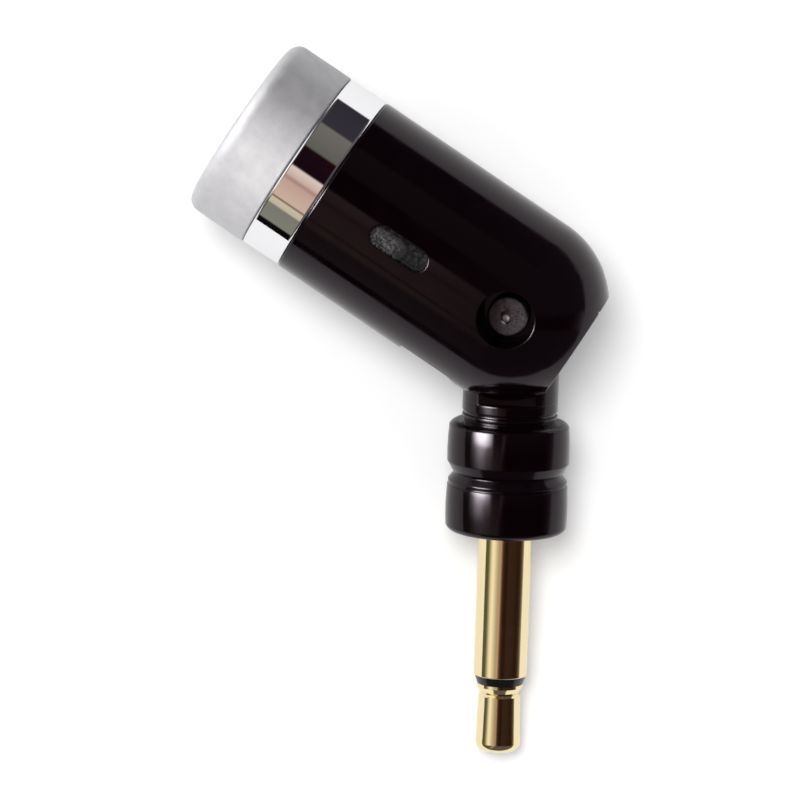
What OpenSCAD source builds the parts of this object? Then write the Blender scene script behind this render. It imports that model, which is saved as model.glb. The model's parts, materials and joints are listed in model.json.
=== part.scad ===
// Plug-in microphone with a swivelling head, lying on its side.
// The head's axis runs along X, its grille at -X and its hinge at +X. The plug leaves
// the hinge towards +X and -Y and dips until it touches the surface at z = 0.
// Each piece is drawn with the hinge pivot as its origin and then laid down.

/* [Head] */
// Outside diameter of the head
head_d = 12.6; // [12.2:0.1:14]
// Length of the rear sound chamber, from the bulkhead to the capsule's seat
chamber_len = 6.22; // [6:0.02:9]
// Wall of the housing's front spigot, round the capsule's boot
spigot_wall = 0.48; // [0.4:0.02:0.6]
// Width of the shoulder that the capsule's boot seats on
shoulder_w = 0.22; // [0.15:0.01:0.4]
// Wall between the rear sound chamber and the hinge pocket
bulkhead_t = 0.9; // [0.6:0.1:1.5]
// Hole in the bulkhead for the two leads
lead_hole_d = 1.8; // [1.5:0.1:2]
// Rounding along the edges of the turned and moulded pieces
edge_round = 0.12; // [0.05:0.01:0.18]
// Pivot to the flat end of the head
end_face = 4.75; // [4.7:0.05:5.2]
// Radius of the ball-shaped hinge end, from the side of the head to the flat end
end_round = 6; // [5.6:0.1:6.2]
// Rounding of the flat end's rim
end_rim_round = 0.25; // [0.1:0.05:0.4]

/* [Front end] */
// Width of the polished trim ring
ring_w = 2.8; // [2:0.1:3.6]
// Wall of the trim ring, and of the cap in front of it
ring_t = 0.5; // [0.4:0.05:0.6]
// Rounding of the trim ring's two edges
ring_round = 0.2; // [0.1:0.05:0.3]
// Length of the front cap
cap_len = 4.35; // [3.8:0.05:5]
// Thickness of the cap's front lip
cap_lip_t = 0.7; // [0.65:0.05:1]
// Rounding of the cap's front edge
cap_round = 0.85; // [0.5:0.05:0.9]
// Front opening of the cap
opening_d = 9.4; // [8.6:0.1:10]
// Sheet thickness of the grille
grille_t = 0.3; // [0.2:0.05:0.4]
// Height that the grille's dome stands proud of the cap
grille_proud = 0.3; // [0.1:0.05:0.8]
// Holes in the grille
grille_hole_d = 0.55; // [0.4:0.05:0.65]
// Distance between neighbouring holes in the grille
grille_pitch = 0.9; // [0.85:0.05:1.4]
// Thickness of the wind foam behind the grille's rim
foam_t = 1.45; // [0.8:0.05:2.5]

/* [Capsule] */
// Length of the capsule
capsule_len = 6.3; // [5.5:0.1:7.5]
// Sheet thickness of the can
can_t = 0.25; // [0.2:0.05:0.3]
// Felt disc on the front of the can
felt_t = 0.3; // [0.2:0.05:0.6]
// Wall of the rubber boot round the capsule
boot_wall = 0.38; // [0.3:0.01:0.4]
// Thickness of the boot's rear lip
boot_lip_t = 0.4; // [0.3:0.05:0.6]
// Metal ring that the diaphragm is stretched on
diaphragm_ring_t = 0.3; // [0.2:0.05:0.5]
// Gap that the spacer keeps between the diaphragm and the backplate
spacer_t = 0.1; // [0.05:0.01:0.2]
// Backplate
backplate_t = 0.5; // [0.3:0.05:0.8]
// Circuit board that closes the back of the can
board_t = 0.8; // [0.6:0.1:1]

/* [Sound ports] */
// Length of each rear sound port
port_len = 4.2; // [3:0.1:4.6]
// Width of each rear sound port
port_w = 1.5; // [1:0.1:2]
// Gap between the bulkhead and the port
port_gap = 0.45; // [0.4:0.05:1]
// Depth of the felt below the housing's surface
port_felt_depth = 0.6; // [0.4:0.05:0.9]
// Thickness and overlap of the felt behind the port
port_felt_t = 0.35; // [0.25:0.05:0.5]

/* [Hinge] */
// Angle of the plug from straight, as it lies
bend = 58.3; // [45:0.1:80]
// Largest angle of the plug from straight
bend_max = 90; // [85:1:90]
// Wall beside the hinge pocket
pocket_wall = 1.1; // [0.9:0.02:1.4]
// Width of the knuckle and its tongue between the two cheeks
knuckle_w = 4.9; // [4.7:0.1:5.3]
// Gap between the knuckle and each cheek
cheek_gap = 0.06; // [0.04:0.01:0.1]
// Gap between the knuckle's rim and the hinge pocket
pocket_gap = 0.2; // [0.1:0.05:0.3]
// Gap between the stem and the slot's two ends
slot_end_gap = 0.13; // [0.1:0.01:0.3]
// Diameter of the hinge screw's shank
screw_d = 1.6; // [1.4:0.1:2]
// Diameter of the hinge screw's head
screw_head_d = 2.7; // [2.4:0.05:3]
// Height of the hinge screw's head
screw_head_h = 1.1; // [0.8:0.1:1.3]
// Width across the flats of the screw's hexagon socket
socket_w = 0.9; // [0.7:0.05:1.3]
// Depth of the screw's socket
socket_depth = 0.6; // [0.4:0.05:0.8]
// Counterbore round the screw's head
counterbore_d = 3.7; // [3.4:0.1:4.4]
// Wall of the cheek under the screw's head
cheek_floor_t = 0.85; // [0.6:0.05:1]
// Diameter of the threaded insert
insert_d = 2.8; // [2.4:0.1:3.4]
// Length of the threaded insert
insert_len = 2.2; // [1.6:0.1:2.4]
// Diameter of the friction washers
washer_d = 5.2; // [4.6:0.1:5.6]
// Thickness of the friction washers
washer_t = 0.3; // [0.2:0.05:0.5]

/* [Stem] */
// Diameter of the neck
neck_d = 6.2; // [6:0.05:6.3]
// Pivot to the shoulder where the flat tongue becomes the round neck
neck_start = 6.1; // [6:0.02:6.2]
// Width of the fine bead beside the collar
bead_w = 0.28; // [0.2:0.02:0.4]
// Width of the grooves on the bead's two sides
bead_gap = 0.2; // [0.16:0.02:0.3]
// Depth of the grooves beside the bead
bead_groove_depth = 0.15; // [0.1:0.01:0.2]
// Pivot to the collar
collar_start = 7.44; // [7.4:0.02:9]
// Diameter of the collar
collar_d = 7.96; // [7.6:0.02:8.4]
// Length of the collar
collar_len = 7.3; // [7:0.02:9]
// Rounding of the collar's two ends
collar_round = 0.6; // [0.3:0.05:0.7]
// Crown radius of the collar's two grips
crown_r = 18; // [12:1:60]
// Start of the groove from the collar's hinge end
groove_start = 2.66; // [2:0.02:4]
// Length of the groove's flank on the hinge side
groove_hinge_side = 0.8; // [0.4:0.05:1]
// Length of the groove's flank on the plug side
groove_plug_side = 0.55; // [0.3:0.05:1]
// Depth of the groove
groove_depth = 0.45; // [0.2:0.05:0.6]
// Width of the fine seam beside the groove
seam_w = 0.2; // [0.1:0.05:0.3]
// Depth of the seam
seam_depth = 0.15; // [0.05:0.05:0.3]
// Diameter of the spigot that carries the collar
spigot_d = 5; // [4.8:0.1:5.4]
// Length of the spigot that carries the collar
spigot_len = 5; // [4.8:0.1:5.2]
// Channel for the leads through the neck
channel_d = 3.8; // [3.7:0.1:4]

/* [Plug] */
// Diameter of the plug's sleeve
sleeve_d = 3.5; // [3.4:0.05:3.6]
// Diameter of the sleeve's root inside the collar
sleeve_root_d = 4.2; // [4:0.1:4.6]
// Length of the sleeve beyond the collar
sleeve_len = 9.56; // [8:0.02:11]
// Bore of the sleeve
sleeve_bore_d = 2.3; // [2.2:0.05:2.6]
// Thickness of the sleeve's flange inside the collar
flange_t = 0.6; // [0.4:0.05:0.8]
// Width of the insulator between the sleeve and the tip
insulator_w = 0.57; // [0.4:0.01:1]
// Diameter of the insulator at the sleeve
insulator_d = 3.38; // [3.2:0.02:3.4]
// Diameter of the rod through the sleeve
rod_d = 1.4; // [1:0.05:1.6]
// Length of the tip
tip_len = 4.53; // [4:0.01:5]
// Diameter of the tip's rear rim
tip_rim_d = 3; // [2.8:0.02:3.1]
// Diameter of the catch groove behind the tip
tip_waist_d = 2.44; // [2.2:0.02:2.6]
// Tip's rear face to the catch groove
tip_waist_at = 0.66; // [0.5:0.02:0.8]
// Diameter of the tip at the catch groove
tip_shoulder_d = 2.74; // [2.65:0.02:2.9]
// Diameter of the tip at its end
tip_end_d = 2.95; // [2.8:0.02:3.2]
// Rounding of the tip's end
tip_round = 0.6; // [0.4:0.05:0.8]
// Sheet thickness of the terminals and of their washer
terminal_t = 0.3; // [0.2:0.05:0.4]
// Diameter of the two leads
lead_d = 0.5; // [0.4:0.05:0.6]

/* [Clearances] */
// Radial clearance between pieces that are pushed together
fit = 0.03; // [0.02:0.005:0.05]
// Clearance of the pieces that turn on each other
run = 0.03; // [0.02:0.005:0.05]

/* [Hidden] */
$fn = 96;

// Radii
head_r = head_d / 2;
ring_bore_r = head_r - ring_t;
front_spigot_r = ring_bore_r - fit;
seat_r = front_spigot_r - spigot_wall;
boot_r = seat_r - fit;
capsule_r = boot_r - boot_wall - fit;
chamber_r = seat_r - shoulder_w;
dome_r = opening_d / 2 - fit;
slot_half = knuckle_w / 2 + cheek_gap;
pocket_r = sqrt(head_r * head_r - slot_half * slot_half) - pocket_wall;
knuckle_r = pocket_r - pocket_gap;
neck_r = neck_d / 2;
flush_r = head_r - run;
collar_r = collar_d / 2;
spigot_r = spigot_d / 2;
channel_r = channel_d / 2;
sleeve_r = sleeve_d / 2;
sleeve_root_r = sleeve_root_d / 2;
rod_r = rod_d / 2;
screw_r = screw_d / 2;
lead_r = lead_d / 2;

// Places along the head's axis, from the pivot towards the grille
bulkhead_x = -pocket_r - bulkhead_t;
shoulder_x = bulkhead_x - chamber_len;
can_back_x = shoulder_x - boot_lip_t;
can_front_x = can_back_x - capsule_len;
front_spigot_x = can_front_x - felt_t;
grille_back_x = front_spigot_x - foam_t;
lip_x = grille_back_x - grille_t;
cap_x = lip_x - cap_lip_t;
dome_x = cap_x - grille_proud;
ring_front_x = cap_x + cap_len;
ring_back_x = ring_front_x + ring_w;
port_x = bulkhead_x - port_gap - port_len / 2;

// Places inside the capsule
crimp_t = 0.2;
board_x = can_back_x - crimp_t - board_t;
ring_x = can_front_x + can_t;
film_t = 0.05;
film_x = ring_x + diaphragm_ring_t;
spacer_x = film_x + film_t;
backplate_x = spacer_x + spacer_t;
chamber_ring_x = backplate_x + backplate_t;
inside_r = capsule_r - can_t - fit;

// Heights along the hinge axis
washer_top_z = slot_half - run;
washer_bottom_z = washer_top_z - washer_t;
screw_seat_z = slot_half + cheek_floor_t;
screw_end_z = 0.3 - slot_half - insert_len;
screw_head_round = 0.2;
knuckle_round = 0.15;
bead_round = 0.08;
cavity_r = knuckle_r - 1.2;
cavity_half = 1.6;
window_half = 1.2;
window_angle = 14;

// Places along the stem's axis, from the pivot towards the tip
collar_end = collar_start + collar_len;
flange_x = collar_start + spigot_len;
floor_x = flange_x + flange_t;
sleeve_end = collar_end + sleeve_len;
tip_x = sleeve_end + insulator_w;
tip_end = tip_x + tip_len;
groove_x = collar_start + groove_start;
seam_x = groove_x + groove_hinge_side + groove_plug_side;
bead_x = collar_start - bead_gap - bead_w;

// The plug dips until its tip or its collar meets the surface that the head lies on.
// Each is a rounded rim: the centre of its rounding, along and across the stem's axis.
tip_rim = [tip_end - tip_round, tip_end_d / 2 - tip_round];
collar_rim = [collar_end - collar_round, collar_r - collar_round];
function dip_of(rim, rounding) =
  asin((head_r - rounding) / norm(rim)) - atan2(rim[1], rim[0]);
dip = min(dip_of(tip_rim, tip_round), dip_of(collar_rim, collar_round));
roll = asin(sin(dip) / sin(bend));

// How far a rounded rim reaches in a direction that has the cosine c to the stem's axis
function reach(rim, rounding, c) = rim[0] * c + rim[1] * sqrt(1 - c * c) + rounding;
x_low = dome_x;
x_high = reach(tip_rim, tip_round, cos(bend));
y_low = -reach(tip_rim, tip_round, sin(bend) * cos(roll));
y_high = head_r;

// Frames of the two bodies
module on_head() {
  translate([-(x_low + x_high) / 2, -(y_low + y_high) / 2, head_r])
    rotate([roll, 0, 0])
      children();
}

module on_stem() {
  on_head() rotate([0, 0, -bend]) children();
}

// A profile drawn as [radius, place along the axis], turned about the X axis
module turned() {
  rotate([0, 90, 0]) rotate_extrude() children();
}

// Half section of a round bar with rounded rims
module bar(r, from, to, round_from = 0, round_to = 0) {
  translate([0, from + round_from]) square([r, to - from - round_from - round_to]);
  if (round_from > 0) {
    translate([0, from]) square([r - round_from, round_from]);
    translate([r - round_from, from + round_from]) circle(round_from);
  }
  if (round_to > 0) {
    translate([0, to - round_to]) square([r - round_to, round_to]);
    translate([r - round_to, to - round_to]) circle(round_to);
  }
}

// Half section of a tube
module tube(outer, inner, from, to) {
  translate([inner, from]) square([outer - inner, to - from]);
}

// Holes spread evenly on a circle, drilled along the X axis
module ring_of_holes(count, r, hole_r, from, to) {
  for (i = [0 : count - 1])
    rotate([360 * i / count, 0, 0])
      translate([from, 0, r])
        rotate([0, 90, 0])
          cylinder(r = hole_r, h = to - from);
}

// Outline of a sound port, shrunk by a clearance
module port_outline(shrink = 0) {
  half = (port_len - port_w) / 2;
  translate([port_x, 0]) {
    square([2 * half, port_w - 2 * shrink], center = true);
    for (side = [-1, 1])
      translate([side * half, 0]) circle(port_w / 2 - shrink);
  }
}

// Half section of the hinge end: a ball that is cut off flat, with a rounded rim.
// The rim's circle touches both the ball and the flat face.
module hinge_end() {
  ball_r = head_r - end_round;
  rim_x = end_face - end_rim_round;
  rim_r = ball_r + sqrt(pow(end_round - end_rim_round, 2) - rim_x * rim_x);
  translate([0, -1]) square([head_r, 1]);
  square([rim_r, end_face]);
  translate([rim_r, rim_x]) circle(end_rim_round);
  intersection() {
    translate([ball_r, 0]) circle(end_round);
    polygon([
      [0, 0], [2 * head_r, 0], [ball_r + 3 * (rim_r - ball_r), 3 * rim_x],
      [rim_r, rim_x], [0, rim_x]
    ]);
  }
}

// Head: the moulded housing, with its ball-shaped hinge end, slot, ports and bores
module housing_profile() {
  difference() {
    union() {
      bar(head_r, ring_back_x, 0, edge_round);
      hinge_end();
      translate([0, front_spigot_x]) square([front_spigot_r, ring_back_x - front_spigot_x]);
    }
    translate([0, front_spigot_x - 1]) square([seat_r, shoulder_x - front_spigot_x + 1]);
    translate([0, shoulder_x - 1]) square([chamber_r, chamber_len + 1]);
  }
}

// The knuckle's pocket and the slot that the stem swings in, from straight to square.
// Straight, the neck lies along the flat end's edge of it; square, the tongue's flank
// lies along the other.
module hinge_slot() {
  straight_edge = neck_r + slot_end_gap;
  square_edge = knuckle_r + slot_end_gap;
  far = 2 * head_r;
  linear_extrude(height = 2 * slot_half, center = true) {
    circle(pocket_r);
    translate([-square_edge, -far]) square([far + square_edge, far]);
    translate([0, -far]) square([far, far + straight_edge]);
  }
}

module head_housing() {
  color("#16131a")
    on_head()
      difference() {
        turned() housing_profile();
        hinge_slot();
        translate([bulkhead_x - 1, 0, 0])
          rotate([0, 90, 0])
            cylinder(d = lead_hole_d, h = bulkhead_t + pocket_gap + 2);
        linear_extrude(height = 2 * head_d, center = true) port_outline();
        translate([0, 0, screw_seat_z]) cylinder(d = counterbore_d, h = head_r);
        cylinder(r = screw_r + fit, h = screw_seat_z + 1);
        translate([0, 0, -slot_half - insert_len])
          cylinder(d = insert_d + 2 * fit, h = insert_len + 1);
      }
}

module trim_ring() {
  color("#c9ccd2")
    on_head()
      turned()
        difference() {
          bar(head_r, ring_front_x, ring_back_x, ring_round, ring_round);
          translate([0, ring_front_x - 1]) square([ring_bore_r, ring_w + 2]);
        }
}

module front_cap() {
  color("#b9bcc0")
    on_head()
      turned()
        difference() {
          bar(head_r, cap_x, ring_front_x, cap_round, edge_round);
          translate([0, lip_x]) square([ring_bore_r, cap_len]);
          translate([0, cap_x - 1]) square([opening_d / 2, cap_lip_t + 2]);
        }
}

// The grille's dome is a sphere that leaves the rim at dome_r and peaks at dome_x
dome_rise = lip_x - dome_x;
dome_sphere_r = (dome_r * dome_r + dome_rise * dome_rise) / (2 * dome_rise);

module dome_section(inset) {
  intersection() {
    translate([0, dome_x + dome_sphere_r]) circle(dome_sphere_r - inset);
    translate([0, dome_x]) square([dome_r, grille_back_x - dome_x]);
  }
}

// Holes at the points of a triangular grid, out to the dome's edge
module grille_holes() {
  row_step = grille_pitch * sqrt(3) / 2;
  rows = floor(dome_r / row_step);
  limit = dome_r - grille_hole_d;
  for (j = [-rows : rows])
    for (i = [-rows - 1 : rows + 1]) {
      y = (i + (abs(j) % 2) / 2) * grille_pitch;
      z = j * row_step;
      if (norm([y, z]) < limit)
        translate([dome_x - 1, y, z])
          rotate([0, 90, 0])
            cylinder(d = grille_hole_d, h = dome_rise + grille_t + 2, $fn = 24);
    }
}

module front_grille() {
  color("#9a9da1")
    on_head()
      difference() {
        turned()
          difference() {
            union() {
              tube(ring_bore_r - fit, dome_r - 0.5, lip_x, grille_back_x);
              dome_section(0);
            }
            dome_section(grille_t);
          }
        grille_holes();
      }
}

module wind_foam() {
  color("#3a3a3c")
    on_head()
      turned() {
        bar(ring_bore_r - fit, grille_back_x, front_spigot_x);
        dome_section(grille_t + fit);
      }
}

// Capsule, from the front
module capsule_felt() {
  color("#6d6b66")
    on_head() turned() bar(capsule_r, front_spigot_x, can_front_x);
}

module capsule_boot() {
  color("#26262a")
    on_head()
      turned() {
        tube(boot_r, capsule_r + fit, can_front_x, can_back_x);
        tube(boot_r, capsule_r - 0.6, can_back_x, shoulder_x);
      }
}

module capsule_can() {
  color("#d2d4d6")
    on_head()
      difference() {
        turned() {
          tube(capsule_r, capsule_r - can_t, can_front_x, can_back_x);
          bar(capsule_r, can_front_x, can_front_x + can_t);
          tube(capsule_r, capsule_r - 0.7, can_back_x - crimp_t, can_back_x);
        }
        ring_of_holes(6, capsule_r * 0.45, 0.4, can_front_x - 1, can_front_x + 1);
        ring_of_holes(1, 0, 0.5, can_front_x - 1, can_front_x + 1);
      }
}

module diaphragm_ring() {
  color("#b08d45")
    on_head() turned() tube(inside_r, inside_r - 0.6, ring_x, film_x);
}

module diaphragm() {
  color("#e6d9b0")
    on_head() turned() bar(inside_r, film_x, spacer_x);
}

module diaphragm_spacer() {
  color("#d98e2b")
    on_head() turned() tube(inside_r, inside_r - 0.6, spacer_x, backplate_x);
}

module backplate() {
  color("#b8a25a")
    on_head()
      difference() {
        turned() bar(inside_r, backplate_x, chamber_ring_x);
        ring_of_holes(8, inside_r * 0.6, 0.3, backplate_x - 1, chamber_ring_x + 1);
      }
}

module chamber_ring() {
  color("#e8e6df")
    on_head() turned() tube(inside_r, inside_r - 0.7, chamber_ring_x, board_x);
}

module capsule_board() {
  color("#1f5a3a")
    on_head()
      difference() {
        turned() bar(inside_r, board_x, board_x + board_t);
        ring_of_holes(4, inside_r * 0.6, 0.45, board_x - 1, board_x + board_t + 1);
      }
}

// The transistor stands on the board's front face
fet_size = [1.1, 2.1, 1.5];

module fet() {
  color("#222226")
    on_head()
      translate([board_x - fet_size[0], -fet_size[1] / 2, -fet_size[2] / 2])
        cube(fet_size);
}

// Felt that is pushed into a port from inside, on a flange against the chamber's wall
module port_felt() {
  flange_r = chamber_r - fit;
  length = port_len + 2 * port_felt_t;
  start_x = port_x - length / 2;
  intersection() {
    translate([start_x, 0, 0])
      rotate([0, 90, 0])
        difference() {
          cylinder(r = flange_r, h = length);
          translate([0, 0, -1]) cylinder(r = flange_r - port_felt_t, h = length + 2);
        }
    translate([start_x, -port_w / 2 - port_felt_t, 0])
      cube([length, port_w + 2 * port_felt_t, head_r]);
  }
  intersection() {
    translate([start_x, 0, 0])
      rotate([0, 90, 0])
        cylinder(r = head_r - port_felt_depth, h = length);
    translate([0, 0, flange_r - port_felt_t])
      linear_extrude(height = head_r) port_outline(fit);
  }
}

module port_felt_top() {
  color("#8b8a86") on_head() port_felt();
}

module port_felt_bottom() {
  color("#8b8a86") on_head() mirror([0, 0, 1]) port_felt();
}

// Hinge screw, with a hexagon socket in its head
module pivot_screw() {
  top = screw_seat_z + screw_head_h;
  color("#4a4a4f")
    on_head()
      difference() {
        rotate_extrude() {
          bar(screw_head_d / 2, screw_seat_z, top, 0, screw_head_round);
          bar(screw_r, screw_end_z, top);
        }
        translate([0, 0, top - socket_depth])
          cylinder(r = socket_w / 2 / cos(30), h = socket_depth + 1, $fn = 6);
      }
}

module pivot_insert() {
  color("#b58a3c")
    on_head()
      translate([0, 0, -slot_half - insert_len])
        difference() {
          cylinder(d = insert_d, h = insert_len);
          translate([0, 0, -1]) cylinder(r = screw_r + fit, h = insert_len + 2);
        }
}

// The knuckle and the flat tongue between the cheeks. On the outer side of the bend the
// tongue is as wide as the knuckle and closes the slot beside the neck, flush with the head.
module tongue() {
  rotate_extrude()
    bar(knuckle_r, -knuckle_w / 2, knuckle_w / 2, knuckle_round, knuckle_round);
  intersection() {
    sphere(flush_r);
    translate([0, -knuckle_r, -knuckle_w / 2]) cube([flush_r, knuckle_r, knuckle_w]);
  }
  intersection() {
    turned() bar(neck_r, 0, neck_start);
    cube([2 * neck_start, neck_d, knuckle_w], center = true);
  }
}

// Stem: the hollow tongue, the round neck with its bead and the spigot inside the collar
module stem_solid() {
  tongue();
  turned() {
    bar(neck_r, neck_start, bead_x - bead_gap, bead_round, bead_round);
    bar(neck_r, bead_x, bead_x + bead_w, bead_round, bead_round);
    bar(neck_r - bead_groove_depth, neck_start, collar_start);
    bar(spigot_r, collar_start, flange_x);
  }
}

// Opening of the knuckle that faces the bulkhead's hole at every angle of the hinge
module lead_window() {
  rotate([0, 0, 180 - window_angle])
    rotate_extrude(angle = bend_max + 2 * window_angle)
      translate([cavity_r - 0.2, -window_half])
        square([knuckle_r - cavity_r + 1, 2 * window_half]);
}

module stem() {
  color("#141118")
    on_stem()
      difference() {
        stem_solid();
        cylinder(r = cavity_r, h = 2 * cavity_half, center = true);
        lead_window();
        translate([cavity_r - 1, 0, 0])
          rotate([0, 90, 0])
            cylinder(r = channel_r, h = flange_x);
        cylinder(r = screw_r + run, h = 2 * knuckle_w, center = true);
        for (side = [0, 1])
          mirror([0, 0, side])
            translate([0, 0, washer_bottom_z])
              cylinder(d = washer_d + 2 * fit, h = knuckle_w);
      }
}

module friction_washer() {
  translate([0, 0, washer_bottom_z])
    difference() {
      cylinder(d = washer_d, h = washer_t);
      translate([0, 0, -1]) cylinder(r = screw_r + run, h = washer_t + 2);
    }
}

module washer_top() {
  color("#c8c4ba") on_stem() friction_washer();
}

module washer_bottom() {
  color("#c8c4ba") on_stem() mirror([0, 0, 1]) friction_washer();
}

// Half section of one of the collar's two grips, with its crown
module grip(from, to, round_from, round_to) {
  intersection() {
    bar(collar_r, from, to, round_from, round_to);
    translate([collar_r - crown_r, (from + to) / 2]) circle(crown_r, $fn = 720);
  }
}

module collar() {
  color("#17141b")
    on_stem()
      turned()
        difference() {
          union() {
            grip(collar_start, seam_x, collar_round, 0);
            bar(collar_r - seam_depth, seam_x, seam_x + seam_w);
            grip(seam_x + seam_w, collar_end, edge_round, collar_round);
          }
          translate([0, collar_start - 1]) square([spigot_r + fit, floor_x - collar_start + 1]);
          translate([0, collar_start]) square([sleeve_root_r + fit, collar_len + 1]);
          polygon([
            [collar_r + 1, groove_x], [collar_r, groove_x],
            [collar_r - groove_depth, groove_x + groove_hinge_side],
            [collar_r, seam_x], [collar_r + 1, seam_x]
          ]);
        }
}

// Plug: a flanged sleeve, an insulating bush and a tip on a rod through both
module plug_sleeve() {
  color("#d8b24a")
    on_stem()
      turned()
        difference() {
          union() {
            bar(spigot_r, flange_x, floor_x);
            bar(sleeve_root_r, floor_x, collar_end);
            bar(sleeve_r, collar_end, sleeve_end, 0, edge_round / 2);
          }
          translate([0, flange_x - 1]) square([sleeve_bore_d / 2, sleeve_end]);
        }
}

module plug_insulator() {
  color("#1b191c")
    on_stem()
      turned() {
        tube(sleeve_bore_d / 2 - fit, rod_r + fit, flange_x, sleeve_end);
        polygon([
          [rod_r + fit, sleeve_end], [insulator_d / 2, sleeve_end],
          [tip_rim_d / 2, tip_x], [rod_r + fit, tip_x]
        ]);
      }
}

module tip_profile() {
  rivet_x = flange_x - 3 * terminal_t;
  translate([0, rivet_x - terminal_t]) square([rod_r + 0.25, terminal_t]);
  translate([0, rivet_x]) square([rod_r, tip_x - rivet_x]);
  polygon([
    [0, tip_x], [tip_rim_d / 2, tip_x], [tip_rim_d / 2, tip_x + 0.2],
    [tip_waist_d / 2, tip_x + tip_waist_at],
    [tip_shoulder_d / 2, tip_x + tip_waist_at + 0.15],
    [tip_end_d / 2, tip_end - tip_round], [0, tip_end - tip_round]
  ]);
  translate([0, tip_end - tip_round]) square([tip_end_d / 2 - tip_round, tip_round]);
  translate([tip_end_d / 2 - tip_round, tip_end - tip_round]) circle(tip_round);
}

module plug_tip() {
  color("#d8b24a") on_stem() turned() tip_profile();
}

// A ring with a tab that reaches back into the neck on one side of the stem's axis
tab_w = 0.8;
tab_len = 1.5;

module terminal(from, outer, inner) {
  turned() tube(outer, inner, from, from + terminal_t);
  translate([from - tab_len, outer - terminal_t, -tab_w / 2])
    cube([tab_len + terminal_t / 2, terminal_t, tab_w]);
}

sleeve_terminal_r = channel_r - 2 * fit;
tip_terminal_r = rod_r + 0.55;

module sleeve_terminal() {
  color("#c9c9c4")
    on_stem()
      terminal(flange_x - terminal_t, sleeve_terminal_r, sleeve_bore_d / 2);
}

module rear_insulator() {
  color("#d9d2c0")
    on_stem()
      turned()
        tube(sleeve_terminal_r - terminal_t - fit, rod_r + fit,
          flange_x - 2 * terminal_t, flange_x - terminal_t);
}

module tip_terminal() {
  color("#c9c9c4")
    on_stem()
      mirror([0, 1, 0])
        terminal(flange_x - 3 * terminal_t, tip_terminal_r, rod_r + fit);
}

// Leads: each runs from the capsule's board through the bulkhead, past the hinge screw
// and down the neck to its terminal. A point of the stem turns with the bend.
function on_bend(p) =
  [p[0] * cos(bend) + p[1] * sin(bend), p[1] * cos(bend) - p[0] * sin(bend), p[2]];

// Points between b and c on a smooth curve through a, b, c and d
function between(a, b, c, d, t) =
  0.5 * (2 * b + (c - a) * t + (2 * a - 5 * b + 4 * c - d) * t * t
    + (3 * b - a - 3 * c + d) * t * t * t);
function smooth(p, steps) = [
  for (i = [0 : len(p) - 2])
    for (s = [0 : steps - 1])
      between(p[max(i - 1, 0)], p[i], p[i + 1], p[min(i + 2, len(p) - 1)], s / steps),
  p[len(p) - 1]
];

lead_sides = 8;
lead_steps = 3;

// A round tube swept along a smooth route that stays near the plane of the hinge
module lead(points) {
  path = smooth(points, lead_steps);
  last = len(path) - 1;
  rings = [
    for (i = [0 : last])
      let (
        along = path[min(i + 1, last)] - path[max(i - 1, 0)],
        side = cross(along, [0, 0, 1]) / norm(cross(along, [0, 0, 1])),
        up = cross(side, along) / norm(along)
      )
      for (k = [0 : lead_sides - 1])
        path[i] + lead_r * (cos(360 * k / lead_sides) * side + sin(360 * k / lead_sides) * up)
  ];
  walls = [
    for (i = [0 : last - 1])
      for (k = [0 : lead_sides - 1])
        let (a = i * lead_sides + k, b = i * lead_sides + (k + 1) % lead_sides)
        [a, b, b + lead_sides, a + lead_sides]
  ];
  start = [for (k = [0 : lead_sides - 1]) lead_sides - 1 - k];
  end = [for (k = [0 : lead_sides - 1]) last * lead_sides + k];
  polyhedron(rings, concat([start], walls, [end]));
}

// Where the leads leave the board, and how far each keeps from the plane of the hinge
board_back_x = board_x + board_t + fit;
lead_z = 0.42;
settle_len = 3;

// In the neck each lead settles onto the middle of its terminal's tab
settle_x = cavity_r + settle_len;
signal_end_x = flange_x - 3 * terminal_t - tab_len / 2;
ground_end_x = flange_x - terminal_t - tab_len / 2;

module lead_route(side, stem_points) {
  lead(concat(
    [
      [board_back_x, 0, side * 1.6],
      [board_back_x + 1.5, 0, side * 1.4],
      [bulkhead_x - 1.2, 0, side * lead_z],
      [bulkhead_x + bulkhead_t / 2, 0, side * lead_z],
      [-3, -0.8, side * lead_z],
      on_bend([0.6, -2.1, side * lead_z])
    ],
    [for (p = stem_points) on_bend(p)]
  ));
}

module signal_lead() {
  y = terminal_t - tip_terminal_r + lead_r + fit;
  color("#b5342c")
    on_head()
      lead_route(1, [
        [cavity_r, -0.9, lead_z], [settle_x, y, lead_r], [signal_end_x, y, 0]
      ]);
}

module ground_lead() {
  y = sleeve_terminal_r - terminal_t - lead_r - fit;
  color("#2b2b2b")
    on_head()
      lead_route(-1, [
        [cavity_r, -0.6, -lead_z], [settle_x, y / 2, -lead_r],
        [(settle_x + ground_end_x) / 2, y, 0], [ground_end_x, y, 0]
      ]);
}

head_housing();
trim_ring();
front_cap();
front_grille();
wind_foam();
capsule_boot();
capsule_can();
capsule_felt();
diaphragm_ring();
diaphragm();
diaphragm_spacer();
backplate();
chamber_ring();
capsule_board();
fet();
port_felt_top();
port_felt_bottom();
pivot_screw();
pivot_insert();
stem();
washer_top();
washer_bottom();
collar();
plug_sleeve();
plug_insulator();
plug_tip();
rear_insulator();
tip_terminal();
sleeve_terminal();
signal_lead();
ground_lead();
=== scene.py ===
import json
import math

import bpy
from mathutils import Matrix, Vector


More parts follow.
